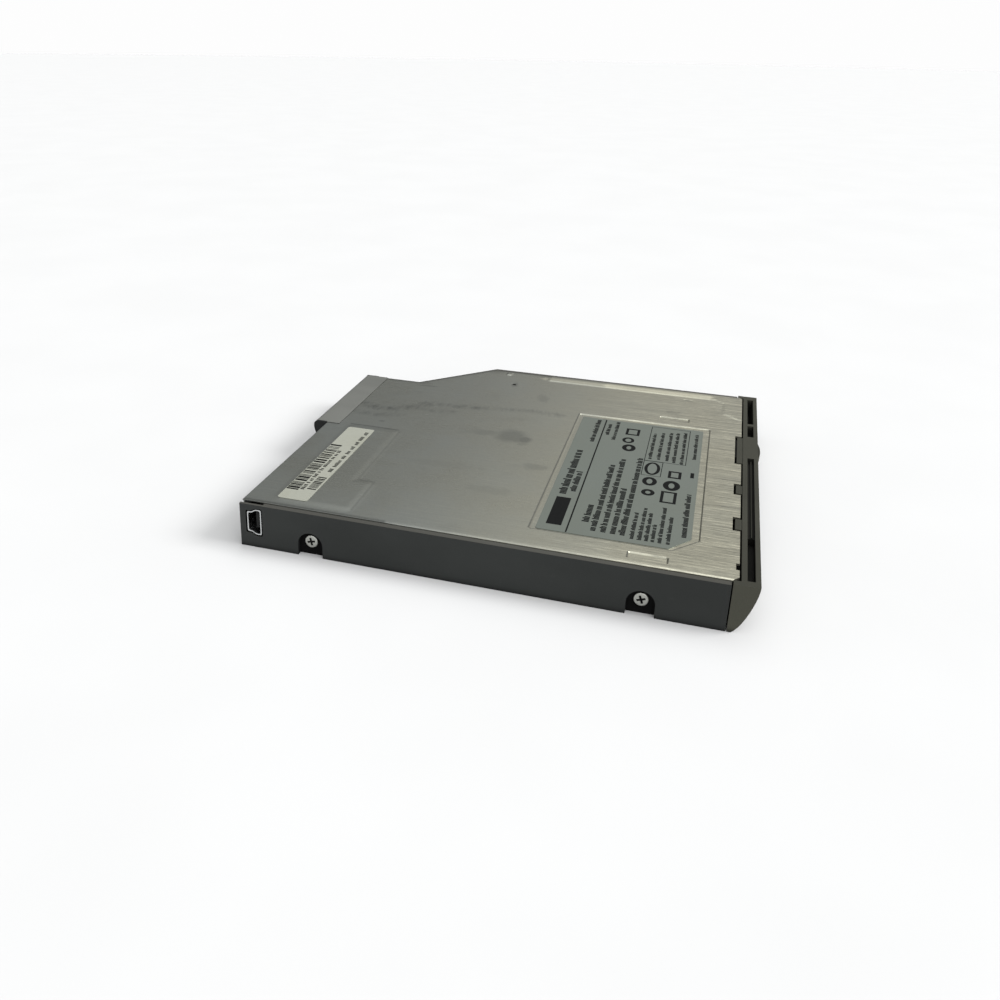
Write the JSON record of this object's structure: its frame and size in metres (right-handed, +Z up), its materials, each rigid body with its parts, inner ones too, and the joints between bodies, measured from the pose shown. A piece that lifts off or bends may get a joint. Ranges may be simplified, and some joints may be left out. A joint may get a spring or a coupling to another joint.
{
  "type": "laptop floppy drive module",
  "caption": "Flat laptop bay module: steel-covered carrier with a floppy mechanism, a front slot with a door, an eject button, a side socket and a rear connector.",
  "frame": {"origin": "centre of the bounding box's footprint, on the underside that rests on the table", "axes": "+X across the module towards the cut corner, +Y from the bezel to the rear connector, +Z up through the labelled cover"},
  "size_m": [0.128, 0.1346, 0.0129],
  "materials": {
    "rail_plastic": "fine-grained dark grey moulding",
    "bezel_plastic": "fine-grained dark grey moulding, a shade lighter than the rails",
    "brushed_steel": "brushed along the module with smudges and light wear",
    "plate_steel": "plain galvanised sheet",
    "screw_steel": "bright nickel plating",
    "rotor_steel": "turned and polished",
    "hood_plastic": "satin light grey moulding",
    "black_plastic": "black moulding",
    "ivory_plastic": "ivory moulding",
    "silver_label": null,
    "paper_label": null,
    "board_green": "green solder mask",
    "copper_winding": "enamelled copper wire",
    "gold_contact": "gold-plated spring contacts",
    "brass": "sintered bush",
    "clear_lens": "tinted translucent lens",
    "ribbon_film": "amber film",
    "head_ceramic": "polished ceramic"
  },
  "bodies": {
    "carrier": {"carrier_frame": "rail_plastic", "base_plate": "plate_steel", "top_cover": "brushed_steel", "spec_label": "silver_label", "strip_label": "paper_label", "connector_hood": "hood_plastic", "front_bezel": "bezel_plastic", "light_pipe": "clear_lens", "activity_lamp": "ivory_plastic", "left_screw_front": "screw_steel", "right_screw_front": "screw_steel", "left_screw_rear": "screw_steel", "right_screw_rear": "screw_steel", "base_screw_1": "screw_steel", "base_screw_2": "screw_steel", "base_screw_3": "screw_steel", "base_screw_4": "screw_steel", "drive_chassis": "plate_steel", "slide_spring": "screw_steel", "spring_anchor": "plate_steel", "spindle_board": "board_green", "spindle_bearing": "brass", "stator_core": "copper_winding", "guide_rod": "rotor_steel", "motor_bracket": "plate_steel", "stepper_motor": "rotor_steel", "controller_board": "board_green", "controller_chip": "black_plastic", "crystal_can": "screw_steel", "capacitor": "black_plastic", "drive_ribbon": "ribbon_film", "track_sensor": "black_plastic", "protect_switch": "ivory_plastic", "presence_switch": "ivory_plastic", "socket_shell": "screw_steel", "socket_tongue": "black_plastic", "bay_connector": "black_plastic", "lower_contacts": "gold_contact", "upper_contacts": "gold_contact"},
    "ejector": {"slide_plate": "plate_steel", "eject_button": "bezel_plastic"},
    "holder": {"disk_holder": "plate_steel"},
    "shutter_arm": {"shutter_lever": "plate_steel"},
    "door": {"disk_door": "bezel_plastic"},
    "carriage": {"head_carriage": "black_plastic", "lower_head": "head_ceramic"},
    "head_arm": {"upper_head_arm": "plate_steel", "upper_head": "head_ceramic"},
    "screw_drive": {"lead_screw": "rotor_steel"},
    "spindle": {"spindle_rotor": "rotor_steel", "chucking_hub": "rotor_steel", "spindle_shaft": "rotor_steel", "drive_pin": "screw_steel"},
    "protect_pin": {"protect_plunger": "black_plastic"},
    "presence_pin": {"presence_plunger": "black_plastic"}
  },
  "joints": [
    {"name": "eject_slide", "type": "slide", "parent": "carrier", "child": "ejector", "axis": [0, -1, 0], "range_m": [0, 0.005]},
    {"name": "holder_lift", "type": "slide", "parent": "carrier", "child": "holder", "axis": [0, 0, -1], "range_m": [0, 0.0016]},
    {"name": "shutter_swing", "type": "hinge", "parent": "holder", "child": "shutter_arm", "pos_m": [-0.032, 0.02772, 0.0094], "axis": [0, 0, 1], "range_deg": [-77, 0], "stiffness_Nm_per_rad": 0.0002},
    {"name": "door_swing", "type": "hinge", "parent": "carrier", "child": "door", "pos_m": [-0.0128, -0.06308, 0.009], "axis": [1, 0, 0], "range_deg": [0, 85], "stiffness_Nm_per_rad": 0.00005},
    {"name": "head_seek", "type": "slide", "parent": "carrier", "child": "carriage", "axis": [0, -1, 0], "range_m": [0, 0.0148]},
    {"name": "lead_screw_turn", "type": "hinge", "parent": "carrier", "child": "screw_drive", "pos_m": [-0.028, 0.04, 0.00505], "axis": [0, -1, 0], "range_deg": [0, 1776]},
    {"name": "arm_lift", "type": "hinge", "parent": "carriage", "child": "head_arm", "pos_m": [-0.013, 0.04793, 0.0094], "axis": [1, 0, 0], "range_deg": [0, 9.5]},
    {"name": "spindle_spin", "type": "hinge", "parent": "carrier", "child": "spindle", "pos_m": [-0.012, -0.01457, 0.002], "axis": [0, 0, 1], "continuous": true},
    {"name": "protect_press", "type": "slide", "parent": "carrier", "child": "protect_pin", "axis": [0, 0, -1], "range_m": [0, 0.0009], "stiffness_N_per_m": 5},
    {"name": "presence_press", "type": "slide", "parent": "carrier", "child": "presence_pin", "axis": [0, 0, -1], "range_m": [0, 0.0009], "stiffness_N_per_m": 5}
  ],
  "couplings": [
    {"joint": "holder_lift", "follows": "eject_slide", "ratio": 0.32},
    {"joint": "arm_lift", "follows": "eject_slide", "rad_per_m": 33.16},
    {"joint": "lead_screw_turn", "follows": "head_seek", "rad_per_m": 2094.4}
  ]
}
